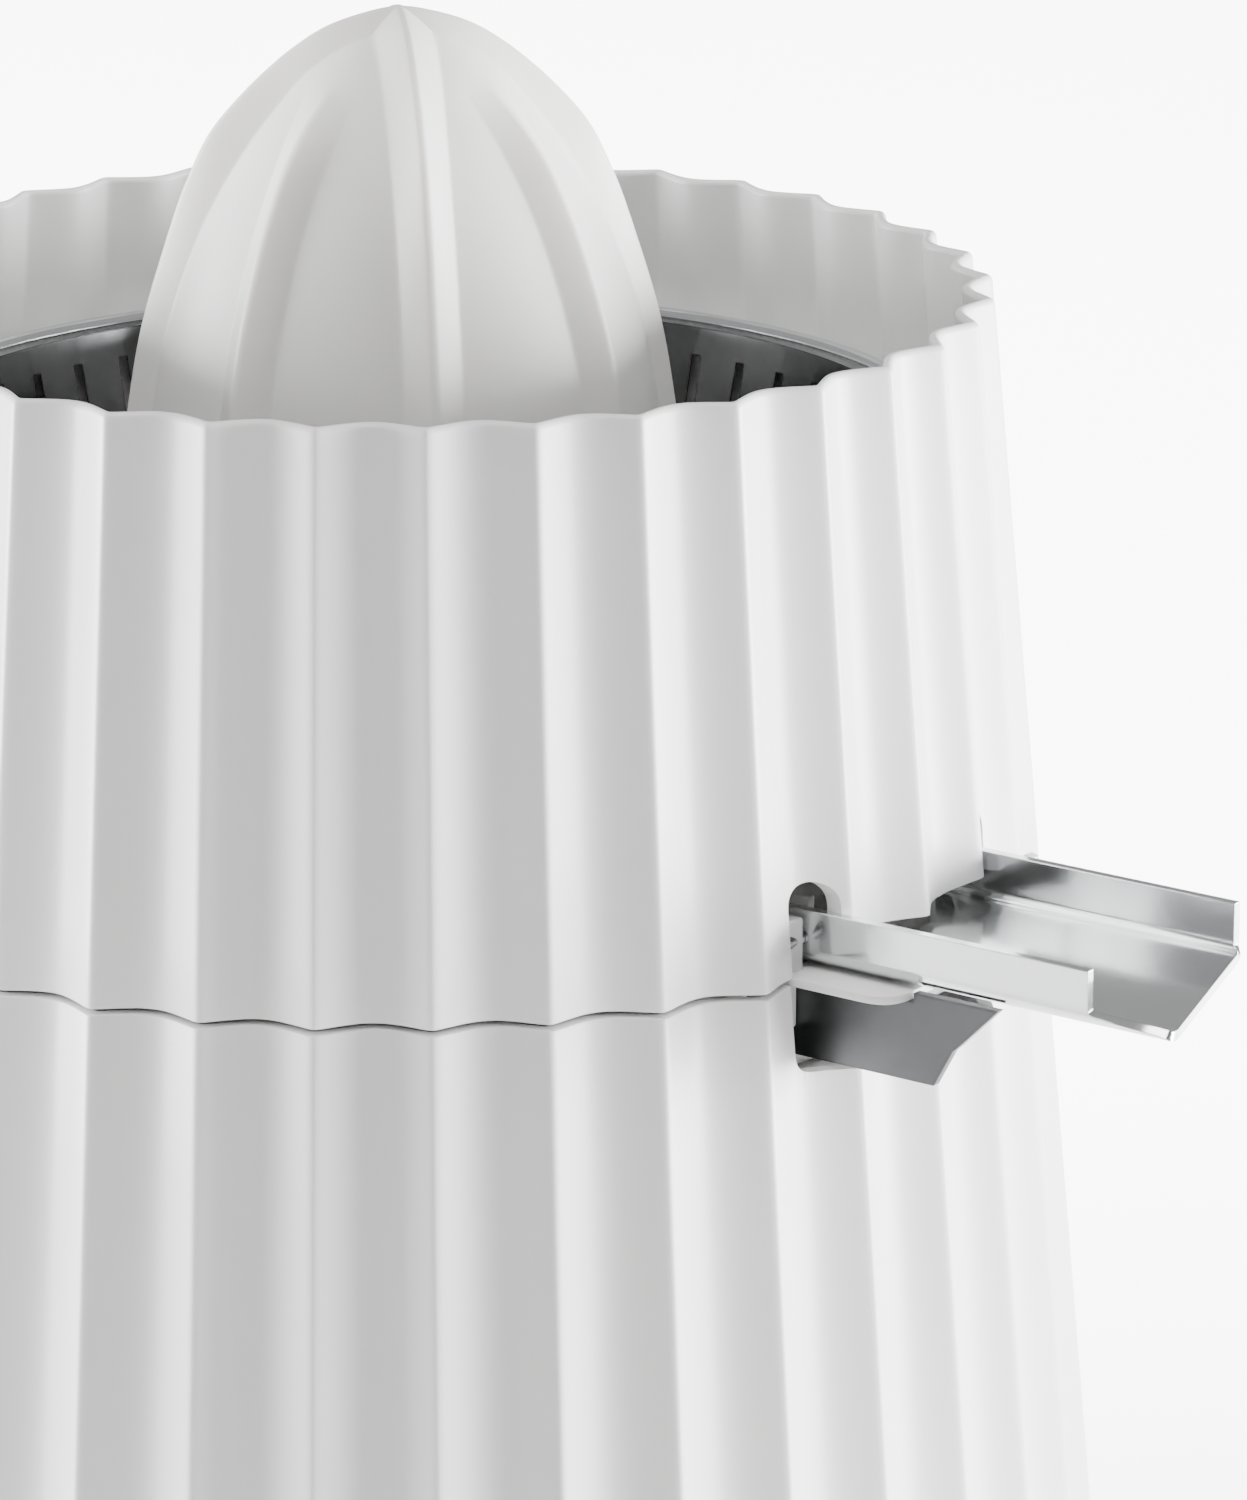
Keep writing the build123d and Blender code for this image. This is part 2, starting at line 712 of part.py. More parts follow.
def switch_bracket():
    low = switch_plate_z
    plate = block((-14, 26), (-8, 8), (low, low + switch_plate))
    for x in ((-14, -11.5), (23.5, 26)):
        plate += block(x, (-8, 8), (low, gearbox_floor_z))
    return plate


def microswitch():
    low = switch_plate_z + switch_plate
    body = block((spring_coil_radius + 1.4, 21), (-4, 4), (low, low + 9))
    body -= rod(plunger_radius + running, low + 2, low + 10, (plunger_x, 0))
    return body


def switch_plunger():
    low = switch_plate_z + switch_plate
    return rod(plunger_radius, low + 5, cap_z - 0.3, (plunger_x, 0))


# ----------------------------------------------------------------------- base
def base_screw_places():
    circle = inner_radius(base_z) - base_screw_inset
    places = []
    for i in range(4):
        a = math.radians(45 + 90 * i)
        places.append((circle * math.cos(a), circle * math.sin(a)))
    return places


def foot_places():
    places = [(0, 0)]
    for i in range(4):
        a = math.radians(90 * i + 22.5)
        places.append((foot_circle * math.cos(a), foot_circle * math.sin(a)))
    return places


def lower_housing():
    top = parting_z - parting_gap / 2
    shell = pleated_shell(housing_bottom_z, top)
    floor = base_z + base_thickness
    deck = rod(inner_radius(deck_z) + 0.4, deck_z, deck_z + deck_thickness)
    spigot = tube(bowl_radius - bowl_wall - 2.2, bowl_radius - bowl_wall - 4.4, deck_z, parting_z - 2)
    guard = tube(coupler_radius + 4, coupler_radius + 2, deck_z, coupler_z[0] - 1.5)
    body = shell + deck + spigot + guard
    cover_top = gearbox_floor_z + gearbox_floor + gearbox_height + 2.5
    for at in post_places():
        body += rod(post_radius + 0.6, cover_top, deck_z + 1, at)
    for at in base_screw_places():
        body += rod(5.0, floor, 28, at)
    body -= rod(5.5, deck_z - 1, deck_z + deck_thickness + 1)
    for at in post_places():
        body -= rod(screw_radius, cover_top - 1, cover_top + 14, at)
    for at in base_screw_places():
        body -= rod(screw_radius, floor - 1, 20, at)
    half = window_half_width + body_gap
    notch_floor = bracket_bottom_z - 0.7
    notch = Pos(0, 20) * Rectangle(2 * half, 40)
    notch = fillet(notch.vertices().group_by(Axis.Y)[0], 2.0)
    frame = Plane(origin=(0, -ear_back + 1, notch_floor), x_dir=(1, 0, 0), z_dir=(0, -1, 0))
    body -= extrude(frame * notch, 25)
    hole = Pos(0, ridge_radius(gland_z) - 5, gland_z) * Rot(90, 0, 0)
    return body - hole * Cylinder(gland_radius, 24)


def base_plate():
    plate = rod(inner_radius(base_z) - 0.3, base_z, base_z + base_thickness)
    for at in foot_places():
        plate -= rod(foot_radius, base_z - 1, base_z + 1.2, at)
        plate -= rod(2.0, base_z, base_z + 4, at)
    for at in base_screw_places():
        plate -= rod(screw_radius + running, base_z - 1, base_z + 5, at)
        plate -= rod(3.8, base_z - 1, base_z + 1.2, at)
    return plate


def base_screws():
    screws = []
    for at in base_screw_places():
        head = rod(3.6, base_z + 0.2, base_z + 1.2, at)
        screws.append(head + rod(screw_radius, base_z + 1.2, 16, at))
    return Compound(screws)


def rubber_feet():
    feet = []
    for at in foot_places():
        pad = rod(foot_radius, 0, foot_height, at)
        feet.append(chamfer(pad.edges().group_by(Axis.Z)[0], 0.8) + rod(2.0, foot_height, 6.5, at))
    return Compound(feet)


def cord_gland():
    """A flanged grommet in the back of the housing, with an open bore for a lead."""
    outside = ridge_radius(gland_z) + 1.5
    inside = inner_radius(gland_z) - 1.0
    place = Pos(0, 0, gland_z) * Rot(-90, 0, 0)
    body = Pos(0, 0, inside) * extrude(Circle(gland_radius), outside - inside)
    body += Pos(0, 0, inside - 2) * extrude(Circle(gland_radius + 2), 2)
    body -= Pos(0, 0, inside - 5) * extrude(Circle(gland_bore), 20)
    return place * body


pieces = (
    lower_housing, upper_collar, juice_bowl, pulp_filter, reamer, spout, spout_bracket,
    bracket_screws, spout_pivot_pins, chimney_bush, chimney_seal, drive_coupler,
    coupler_circlip, drive_hex, spindle, thrust_cap, press_return_spring, output_gear,
    idler_gear, idler_axle, motor_pinion, motor_rotor, motor_can, motor_rear_cap,
    gearbox_base, gearbox_cover, lower_spindle_bush, upper_spindle_bush, gearbox_screws,
    motor_screws, microswitch, switch_plunger, switch_bracket, base_plate, base_screws,
    rubber_feet, cord_gland,
)

os.makedirs("parts", exist_ok=True)
for piece in pieces:
    name = piece.__name__
    export_step(piece(), f"parts/{name}.step")
    print("wrote", name)
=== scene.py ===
import json
import math
import bpy
import numpy as np
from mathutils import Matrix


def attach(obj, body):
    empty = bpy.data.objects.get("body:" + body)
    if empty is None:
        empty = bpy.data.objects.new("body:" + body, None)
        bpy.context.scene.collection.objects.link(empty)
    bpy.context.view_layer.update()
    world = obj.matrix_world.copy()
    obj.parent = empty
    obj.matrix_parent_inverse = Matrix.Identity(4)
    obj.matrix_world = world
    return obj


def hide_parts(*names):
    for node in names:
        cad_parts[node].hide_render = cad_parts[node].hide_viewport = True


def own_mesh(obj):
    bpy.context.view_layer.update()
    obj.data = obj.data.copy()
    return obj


# Electric citrus press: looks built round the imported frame. Lengths in the
# surface code are millimetres, and meshes are written in metres.
millimetre = 0.001
sharpAngle = 35  # degrees between two faces past which their edge stays crisp
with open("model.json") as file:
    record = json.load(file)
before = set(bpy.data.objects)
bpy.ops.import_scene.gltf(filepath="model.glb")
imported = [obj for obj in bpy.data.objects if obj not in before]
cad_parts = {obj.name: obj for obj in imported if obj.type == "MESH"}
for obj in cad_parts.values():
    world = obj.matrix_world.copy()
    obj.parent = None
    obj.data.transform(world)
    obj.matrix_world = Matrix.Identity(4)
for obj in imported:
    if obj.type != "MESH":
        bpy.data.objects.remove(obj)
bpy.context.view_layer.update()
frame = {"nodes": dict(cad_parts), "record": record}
print("frame loaded,", len(frame["nodes"]), "nodes")


# what a finish has unless it says otherwise; every one varies over the surface
finishDefaults = {"stretch": (1, 1, 1), "patchDetail": 3, "grainDetail": 4, "bumpHeight": 0.0002,
                  "softEdge": 0.0, "softSamples": 4, "metal": 0.0, "coat": 0.0, "coatRough": 0.1,
                  "glow": 0.0, "glowRadius": (1.0, 0.9, 0.75), "glowScale": 0.004}


def makeFinish(name, changes):
    # colour drifts between two tints on broad noise; fine noise varies the roughness and the height
    look = {**finishDefaults, **changes}
    material = bpy.data.materials.new(name)
    material.use_nodes = True
    tree = material.node_tree
    shader = tree.nodes["Principled BSDF"]
    coords = tree.nodes.new("ShaderNodeTexCoord")
    stretch = tree.nodes.new("ShaderNodeMapping")
    stretch.inputs["Scale"].default_value = look["stretch"]
    tree.links.new(coords.outputs["Object"], stretch.inputs["Vector"])
    patches = tree.nodes.new("ShaderNodeTexNoise")
    patches.inputs["Scale"].default_value = look["patchScale"]
    patches.inputs["Detail"].default_value = look["patchDetail"]
    tree.links.new(coords.outputs["Object"], patches.inputs["Vector"])
    grain = tree.nodes.new("ShaderNodeTexNoise")
    grain.inputs["Scale"].default_value = look["grainScale"]
    grain.inputs["Detail"].default_value = look["grainDetail"]
    tree.links.new(stretch.outputs["Vector"], grain.inputs["Vector"])
    tint = tree.nodes.new("ShaderNodeMix")
    tint.data_type = "RGBA"  # its colours are inputs 6 and 7 and output 2
    tint.inputs[6].default_value = (*look["colour"], 1)
    tint.inputs[7].default_value = (*look["colourTwo"], 1)
    tree.links.new(patches.outputs["Fac"], tint.inputs[0])
    tree.links.new(tint.outputs[2], shader.inputs["Base Color"])
    mixed = tree.nodes.new("ShaderNodeMath")
    mixed.operation = "MULTIPLY_ADD"
    tree.links.new(grain.outputs["Fac"], mixed.inputs[0])
    mixed.inputs[1].default_value = look["roughSpread"]
    mixed.inputs[2].default_value = look["rough"] - look["roughSpread"] / 2
    tree.links.new(mixed.outputs[0], shader.inputs["Roughness"])
    bump = tree.nodes.new("ShaderNodeBump")
    bump.inputs["Strength"].default_value = look["bump"]
    bump.inputs["Distance"].default_value = look["bumpHeight"]
    tree.links.new(grain.outputs["Fac"], bump.inputs["Height"])
    if look["softEdge"]:
        softNormal = tree.nodes.new("ShaderNodeBevel")
        softNormal.samples = look["softSamples"]
        softNormal.inputs["Radius"].default_value = look["softEdge"]
        tree.links.new(softNormal.outputs["Normal"], bump.inputs["Normal"])
    tree.links.new(bump.outputs["Normal"], shader.inputs["Normal"])
    shader.inputs["Metallic"].default_value = look["metal"]
    shader.inputs["Coat Weight"].default_value = look["coat"]
    shader.inputs["Coat Roughness"].default_value = look["coatRough"]
    if look["glow"]:
        shader.inputs["Subsurface Weight"].default_value = look["glow"]
        shader.inputs["Subsurface Radius"].default_value = look["glowRadius"]
        shader.inputs["Subsurface Scale"].default_value = look["glowScale"]
    return material


finishes = {
    "white_shell": {"colour": (0.80, 0.80, 0.79), "colourTwo": (0.77, 0.775, 0.77),
        "patchScale": 9, "grainScale": 900, "rough": 0.40, "roughSpread": 0.10, "bump": 0.05,
        "coat": 0.12, "coatRough": 0.3},
    "white_inner": {"colour": (0.74, 0.74, 0.72), "colourTwo": (0.70, 0.70, 0.69),
        "patchScale": 12, "grainScale": 800, "rough": 0.46, "roughSpread": 0.12, "bump": 0.06,
        "softEdge": 0.0003},
    "reamer_plastic": {"colour": (0.86, 0.85, 0.83), "colourTwo": (0.82, 0.81, 0.79),
        "patchScale": 30, "grainScale": 1100, "rough": 0.42, "roughSpread": 0.12, "bump": 0.06,
        "glow": 0.30},
    "polished_steel": {"colour": (0.74, 0.75, 0.76), "colourTwo": (0.68, 0.69, 0.70),
        "patchScale": 25, "grainScale": 700, "stretch": (1, 1, 3), "rough": 0.13,
        "roughSpread": 0.07, "bump": 0.02, "bumpHeight": 0.0001, "metal": 1.0,
        "softEdge": 0.0002},
    # painted shade: the filter's colour is kept far darker than bare steel, standing for the shade
    # on its wall and the dark bowl it mirrors
    "filter_steel_painted_shade": {"colour": (0.15, 0.152, 0.155), "colourTwo": (0.07, 0.071, 0.073),
        "patchScale": 60, "grainScale": 700, "rough": 0.14, "roughSpread": 0.10, "bump": 0.05,
        "bumpHeight": 0.0001, "metal": 1.0, "softEdge": 0.0002},
    # painted shade: the satin steel's colour is kept far darker than bare steel, so the bracket
    # under the spout looks shaded
    "satin_steel": {"colour": (0.12, 0.122, 0.125), "colourTwo": (0.085, 0.087, 0.09),
        "patchScale": 30, "grainScale": 900, "stretch": (0.05, 1, 1), "rough": 0.34,
        "roughSpread": 0.14, "bump": 0.08, "bumpHeight": 0.0001, "metal": 1.0,
        "softEdge": 0.0004},
    "plain_steel": {"colour": (0.50, 0.51, 0.52), "colourTwo": (0.42, 0.43, 0.44),
        "patchScale": 40, "grainScale": 900, "stretch": (1, 1, 12), "rough": 0.28,
        "roughSpread": 0.14, "bump": 0.06, "metal": 1.0, "softEdge": 0.0002},
    "bronze_bush": {"colour": (0.50, 0.34, 0.17), "colourTwo": (0.42, 0.27, 0.12),
        "patchScale": 60, "grainScale": 1500, "rough": 0.38, "roughSpread": 0.2, "bump": 0.2,
        "metal": 1.0},
    "gear_plastic": {"colour": (0.74, 0.71, 0.60), "colourTwo": (0.69, 0.66, 0.55),
        "patchScale": 25, "grainScale": 1000, "rough": 0.42, "roughSpread": 0.1, "bump": 0.05,
        "softEdge": 0.0001},
    "black_plastic": {"colour": (0.022, 0.022, 0.024), "colourTwo": (0.032, 0.032, 0.034),
        "patchScale": 20, "grainScale": 1400, "rough": 0.50, "roughSpread": 0.2, "bump": 0.15,
        "softEdge": 0.0003},
    "grey_plastic": {"colour": (0.23, 0.235, 0.24), "colourTwo": (0.19, 0.195, 0.20),
        "patchScale": 18, "grainScale": 1200, "rough": 0.48, "roughSpread": 0.18, "bump": 0.12,
        "softEdge": 0.0003},
    "grey_rubber": {"colour": (0.17, 0.17, 0.175), "colourTwo": (0.13, 0.13, 0.135),
        "patchScale": 40, "grainScale": 1600, "rough": 0.72, "roughSpread": 0.2, "bump": 0.25,
        "softEdge": 0.0004},
    "motor_steel": {"colour": (0.40, 0.41, 0.43), "colourTwo": (0.46, 0.45, 0.42),
        "patchScale": 50, "grainScale": 700, "rough": 0.33, "roughSpread": 0.2, "bump": 0.08,
        "metal": 1.0, "softEdge": 0.0003},
}
materials = {name: makeFinish(name, look) for name, look in finishes.items()}
nodeSlots = {row["node"]: row["material_slot"] for row in frame["record"]["subparts"]}
for nodeName, nodeObject in frame["nodes"].items():
    nodeObject.data.materials.clear()
    # the filter's slot is polished steel, but it gets a far darker steel colour instead: painted
    # shade, and a painted reflection of the dark bowl, on its wall
    finish = "filter_steel_painted_shade" if nodeName == "pulp_filter" else nodeSlots[nodeName]
    nodeObject.data.materials.append(materials[finish])
print("finishes made,", len(materials))


def gridQuads(rows, cols, wrapRows, wrapCols):
    # each cell of the grid joins its four neighbours
    i, j = np.meshgrid(np.arange(rows - (not wrapRows)), np.arange(cols - (not wrapCols)),
                       indexing="ij")
    i, j = i.ravel(), j.ravel()
    down, right = (i + 1) % rows, (j + 1) % cols
    return np.stack([i * cols + j, i * cols + right, down * cols + right, down * cols + j], -1)


def addMesh(name, points, faces, finish, body, sharp=sharpAngle):
    # turns the whole shell outwards by the sign of its volume, then writes it in metres
    points = np.asarray(points, float)
    volume = 0.0
    for group in faces:
        group = np.asarray(group)
        for k in range(1, group.shape[1] - 1):
            a, b, c = points[group[:, 0]], points[group[:, k]], points[group[:, k + 1]]
            volume += np.einsum("ij,ij->i", a, np.cross(b, c)).sum()
    rows = []
    for group in faces:
        group = np.asarray(group)
        rows += (group if volume > 0 else group[:, ::-1]).tolist()
    mesh = bpy.data.meshes.new(name)
    mesh.from_pydata((points * millimetre).tolist(), [], rows)
    mesh.polygons.foreach_set("use_smooth", np.ones(len(mesh.polygons), bool))
    mesh.set_sharp_from_angle(angle=math.radians(sharp))
    mesh.update()
    piece = bpy.data.objects.new(name, mesh)
    bpy.context.scene.collection.objects.link(piece)
    if finish:  # a cutter has none, and is gone before the end
        mesh.materials.append(materials[finish])
        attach(piece, body)
    return piece


def lathe(name, profile, finish, body, columns=192):
    # a closed profile of (radius, height) turned about the vertical axis
    profile = np.asarray(profile, float)
    turn = np.linspace(0, 2 * np.pi, columns, endpoint=False)
    r, z = profile[:, :1], profile[:, 1:]
    points = np.stack([r * np.cos(turn), r * np.sin(turn), z + 0 * turn], -1)
    faces = gridQuads(len(profile), columns, True, True)
    return addMesh(name, points.reshape(-1, 3), [faces], finish, body)


def rounded(outline, radius, steps=5):
    # every corner of a closed outline becomes a short curve that starts and ends radius from it
    outline = np.asarray(outline, float)
    before, after = np.roll(outline, 1, 0) - outline, np.roll(outline, -1, 0) - outline
    cut = np.broadcast_to(np.asarray(radius, float), (len(outline),))[:, None]
    start = outline + before / np.linalg.norm(before, axis=1, keepdims=True) * cut
    stop = outline + after / np.linalg.norm(after, axis=1, keepdims=True) * cut
    t = np.linspace(0, 1, steps)[None, :, None]
    curve = (start[:, None] * (1 - t) ** 2 + 2 * outline[:, None] * t * (1 - t)
             + stop[:, None] * t ** 2).reshape(-1, 2)
    apart = np.linalg.norm(curve - np.roll(curve, 1, 0), axis=1) > 1e-6  # drops doubled points
    return curve[apart]


def slab(name, outline, low, high, along, edge, finish=None, body=None):
    # an outline swept from low to high along one axis, with its edges pulled in by edge
    shoulder, mitreLimit = edge * 0.3, 0.3
    outline = np.asarray(outline, float)
    following = np.roll(outline, -1, 0)
    before, after = outline - np.roll(outline, 1, 0), following - outline
    area = np.sum(outline[:, 0] * following[:, 1] - outline[:, 1] * following[:, 0])
    normals = []
    for step in (before, after):
        step = step / np.linalg.norm(step, axis=1, keepdims=True)
        normals.append(np.stack([step[:, 1], -step[:, 0]], -1) * np.sign(area))
    mitre = normals[0] + normals[1]
    mitre /= np.maximum(np.einsum("ij,ij->i", mitre, normals[0]), mitreLimit)[:, None]
    if edge:
        levels = [(low, edge), (low + shoulder, shoulder), (low + edge, 0), (high - edge, 0),
                  (high - shoulder, shoulder), (high, edge)]
    else:
        levels = [(low, 0), (high, 0)]
    rings = []
    for level, inset in levels:
        flat = outline - mitre * inset
        place = np.full(len(flat), level)
        if along == "z":
            rings.append(np.stack([flat[:, 0], flat[:, 1], place], -1))
        elif along == "y":
            rings.append(np.stack([flat[:, 0], place, flat[:, 1]], -1))
        else:
            rings.append(np.stack([place, flat[:, 0], flat[:, 1]], -1))
    count = len(outline)
    sides = gridQuads(len(levels), count, False, True)
    bottom = np.arange(count)[None, ::-1]
    top = (np.arange(count) + count * (len(levels) - 1))[None, :]
    return addMesh(name, np.concatenate(rings), [sides, bottom, top], finish, body)


def carve(piece, cutter):
    # takes one mesh away from another and keeps what is left as plain mesh
    cut = piece.modifiers.new("carve", "BOOLEAN")
    cut.operation = "DIFFERENCE"
    cut.solver = "EXACT"
    cut.object = cutter
    bpy.context.view_layer.update()
    shown = piece.evaluated_get(bpy.context.evaluated_depsgraph_get())
    mesh = bpy.data.meshes.new_from_object(shown)
    piece.modifiers.clear()
    piece.data = mesh
    mesh.set_sharp_from_angle(angle=math.radians(sharpAngle))
    bpy.data.objects.remove(cutter)


# one set of pleats runs down both shells; samples crowd towards each ridge
pleats = {"count": 36, "depthShare": 0.037, "ridgeRound": 0.07, "valleyRound": 0.50, "samples": 10,
          "crowding": 1.35, "slopeSamples": 801, "firstRidge": -90, "rimRadius": 62.0,
          "rimHeight": 262.0, "growth": 0.0914, "parting": 202.0, "gap": 0.5, "rimThickness": 1.3,
          "sharp": 60}
halfSteps = (np.arange(pleats["samples"]) / pleats["samples"]) ** pleats["crowding"]
pleatSteps = np.concatenate([halfSteps, 2 - np.append(halfSteps[1:], 1)[::-1]])
pleatPitch = 360 / pleats["count"]
columnPlace = (np.arange(pleats["count"])[:, None] * 2 + pleatSteps).ravel()
columnAngle = np.radians(pleats["firstRidge"] + columnPlace * pleatPitch / 2)


def foldDepth(place):
    # the slope is steady, and falls to nothing at the ridge and, more slowly, at the valley;
    # its running sum is the depth
    fine = np.linspace(0, 1, pleats["slopeSamples"])
    slope = np.tanh(fine / pleats["ridgeRound"]) * np.tanh((1 - fine) / pleats["valleyRound"])
    total = np.concatenate([[0], np.cumsum((slope[1:] + slope[:-1]) / 2)])
    return np.interp(1 - np.abs(1 - place % 2), fine, total / total[-1])


columnDepth = foldDepth(columnPlace)


def ridgeRadius(z):
    # the rim's radius, plus a steady growth for each millimetre below the rim
    return pleats["rimRadius"] + pleats["growth"] * (pleats["rimHeight"] - z)


def pleatedPoints(profile):
    # radius = ridge radius less the fold's share of it, less an inset through the wall
    inset, z = np.asarray(profile, float).T[:, :, None]
    radius = ridgeRadius(z) * (1 - pleats["depthShare"] * columnDepth) - inset
    return np.stack([radius * np.cos(columnAngle), radius * np.sin(columnAngle),
                     z + 0 * columnAngle], -1)


def pleatedShell(name, profile, body):
    # a closed profile of (inset, height) carried round the pleats
    points = pleatedPoints(profile)
    faces = gridQuads(points.shape[0], points.shape[1], True, True)
    return addMesh(name, points.reshape(-1, 3), [faces], "white_shell", body, pleats["sharp"])


# profiles go up the outside and down the inside; the rounds are (inset, distance from the end)
collar = {"footRound": [(0.4, 0), (0.1, 0.12), (0, 0.45)], "rows": (210, 220, 230, 240, 250),
          "rimSteps": 7, "inside": [(1.35, 250), (1.4, 240), (1.5, 225), (1.5, 210)], "foot": 1.5}
housing = {"footRound": [(0.5, 2.0), (0.15, 2.15), (0, 2.6)], "rows": (30, 65, 100, 135, 165, 185),
           "topRound": [(0, 0.45), (0.1, 0.12), (0.4, 0), (1.55, 0)],
           "inside": [(1.6, 185), (1.6, 120), (1.6, 60), (1.6, 10), (1.5, 2.0)]}
half = pleats["rimThickness"] / 2
rimTurn = np.linspace(0, np.pi, collar["rimSteps"])
rimTop = pleats["rimHeight"] - half
rimRound = np.stack([half - half * np.cos(rimTurn), rimTop + half * np.sin(rimTurn)], -1).tolist()
collarLow = pleats["parting"] + pleats["gap"] / 2
collarProfile = ([(inset, collarLow + up) for inset, up in collar["footRound"]]
                 + [(0, z) for z in collar["rows"]] + rimRound
                 + collar["inside"] + [(collar["foot"], collarLow)])
collarShell = pleatedShell("collarShell", collarProfile, "collar")
housingTop = pleats["parting"] - pleats["gap"] / 2
housingProfile = (housing["footRound"] + [(0, z) for z in housing["rows"]]
                  + [(inset, housingTop - down) for inset, down in housing["topRound"]]
                  + housing["inside"])
housingShell = pleatedShell("housingShell", housingProfile, "base")

# window under the rim: two legs beside a tongue, open below
window = {"halfWidth": 17.5, "top": 212.0, "bottom": 196, "tongueHalf": 12.6,
          "tongueBottom": 205.4, "cornerWidth": 6.5, "cornerHeight": 1.1, "legSteps": 13,
          "front": -84.0, "back": -56.8}
notch = {"halfWidth": 17.9, "low": 192.4, "high": 215, "corner": 2.2, "cornerSteps": 7,
         "square": 0.01, "front": -84, "back": -55.8}
leadHole = {"radius": 6.0, "height": 16, "start": 70, "stop": 95, "steps": 48}
legRadius = (window["halfWidth"] - window["tongueHalf"]) / 2
legMiddle = (window["halfWidth"] + window["tongueHalf"]) / 2
legTurn = np.linspace(0, np.pi, window["legSteps"])
rightLeg = np.stack([legMiddle - legRadius * np.cos(legTurn),
                     window["top"] - legRadius + legRadius * np.sin(legTurn)], -1)
tongue = [(0, window["tongueBottom"]),
          (window["tongueHalf"] - window["cornerWidth"], window["tongueBottom"]),
          (window["tongueHalf"], window["tongueBottom"] + window["cornerHeight"])]
windowHalf = np.concatenate([tongue, rightLeg, [(window["halfWidth"], window["bottom"])]])
windowOutline = np.concatenate([windowHalf, (windowHalf * [-1, 1])[:0:-1]])
carve(collarShell, slab("windowCut", windowOutline, window["front"], window["back"], "y", 0))
notchOutline = rounded([(-notch["halfWidth"], notch["low"]), (notch["halfWidth"], notch["low"]),
                        (notch["halfWidth"], notch["high"]), (-notch["halfWidth"], notch["high"])],
                       [notch["corner"], notch["corner"], notch["square"], notch["square"]],
                       notch["cornerSteps"])
carve(housingShell, slab("notchCut", notchOutline, notch["front"], notch["back"], "y", 0))
holeTurn = np.linspace(0, 2 * np.pi, leadHole["steps"], endpoint=False)
leadOutline = np.stack([leadHole["radius"] * np.cos(holeTurn),
                        leadHole["height"] + leadHole["radius"] * np.sin(holeTurn)], -1)
carve(housingShell, slab("leadHole", leadOutline, leadHole["start"], leadHole["stop"], "y", 0))
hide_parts("upper_collar")
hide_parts("lower_housing")
print("pleated shells made")

# collar's own shelf and ears
ledge = {"halfWidth": 17.5, "back": 60.3, "front": 74.5, "low": 201.5, "high": 202.45,
         "corner": 3.5, "backCorner": 0.3, "cornerSteps": 8, "edge": 0.25}
ears = {"upper": [(14.45, -61.9), (17.5, -61.2), (19.2, -60.2), (19.2, -56.8), (14.45, -56.8)],
        "upperSpan": (202.3, 208.0), "upperCorner": 0.5,
        "lower": [(14.05, -60.8), (17.5, -60.8), (17.5, -56.8), (14.05, -56.8)],
        "lowerSpan": (196.1, 202.4), "lowerCorner": 0.4, "edge": 0.3}
ledgeOutline = rounded([(-ledge["halfWidth"], -ledge["front"]),
                        (ledge["halfWidth"], -ledge["front"]),
                        (ledge["halfWidth"], -ledge["back"]),
                        (-ledge["halfWidth"], -ledge["back"])],
                       [ledge["corner"], ledge["corner"], ledge["backCorner"], ledge["backCorner"]],
                       ledge["cornerSteps"])
slab("spoutLedge", ledgeOutline, ledge["low"], ledge["high"], "z", ledge["edge"],
     "white_shell", "collar")
for tag, side in (("Left", -1), ("Right", 1)):
    for level in ("upper", "lower"):
        earOutline = rounded(np.array(ears[level]) * [side, 1], ears[level + "Corner"])
        slab("ear" + level.title() + tag, earOutline, *ears[level + "Span"], "z", ears["edge"],
             "white_shell", "collar")

# a flat ring under the bowl's rim; the rows with no radius of their own follow the pleats
wallInset = 1.32
flangeRows = [(56.2, 245.26), (57.0, 245.28), (None, 245.28), (None, 243.9), (56.2, 243.9)]
flangePoints = np.concatenate([
    pleatedPoints([[wallInset, z]]) if r is None else
    np.stack([r * np.cos(columnAngle), r * np.sin(columnAngle), z + 0 * columnAngle], -1)[None]
    for r, z in flangeRows])
addMesh("bowlLedge", flangePoints.reshape(-1, 3),
        [gridQuads(len(flangeRows), len(columnAngle), True, True)], "white_inner", "collar")

# housing's inner floor, with its spigot and guard ring
deckProfile = [(5.5, 186.3), (5.8, 186.0), (65.4, 186.0), (65.2, 188.5), (52.2, 188.5),
               (52.2, 199.7), (51.9, 200.0), (50.3, 200.0), (50.0, 199.7), (50.0, 188.5),
               (11.0, 188.5), (11.0, 199.7), (10.7, 200.0), (9.3, 200.0), (9.0, 199.7),
               (9.0, 188.5), (5.8, 188.5), (5.5, 188.2)]
lathe("innerDeck", deckProfile, "white_shell", "base")


posts = {"screwPost": {"circle": 50, "radius": 4.8, "bore": 1.9, "low": 143.6, "high": 186.5},
         "baseBoss": {"circle": 75.45, "radius": 5.0, "bore": 1.9, "low": 5.1, "high": 28},
         "edge": 0.3, "columns": 40, "count": 4, "firstTurn": 45}


def upright(name, turnTo, post):
    # a bored post turned about its own upright axis, with softened ends
    edge, radius, bore, low, high = (posts["edge"], post["radius"], post["bore"], post["low"],
                                     post["high"])
    turn = np.linspace(0, 2 * np.pi, posts["columns"], endpoint=False)
    profile = np.array([(radius - edge, low), (radius, low + edge), (radius, high - edge),
                        (radius - edge, high), (bore + edge, high), (bore, high - edge),
                        (bore, low + edge), (bore + edge, low)])
    r, z = profile[:, :1], profile[:, 1:]
    points = np.stack([post["circle"] * math.cos(turnTo) + r * np.cos(turn),
                       post["circle"] * math.sin(turnTo) + r * np.sin(turn), z + 0 * turn], -1)
    faces = gridQuads(len(profile), posts["columns"], True, True)
    return addMesh(name, points.reshape(-1, 3), [faces], "white_shell", "base")


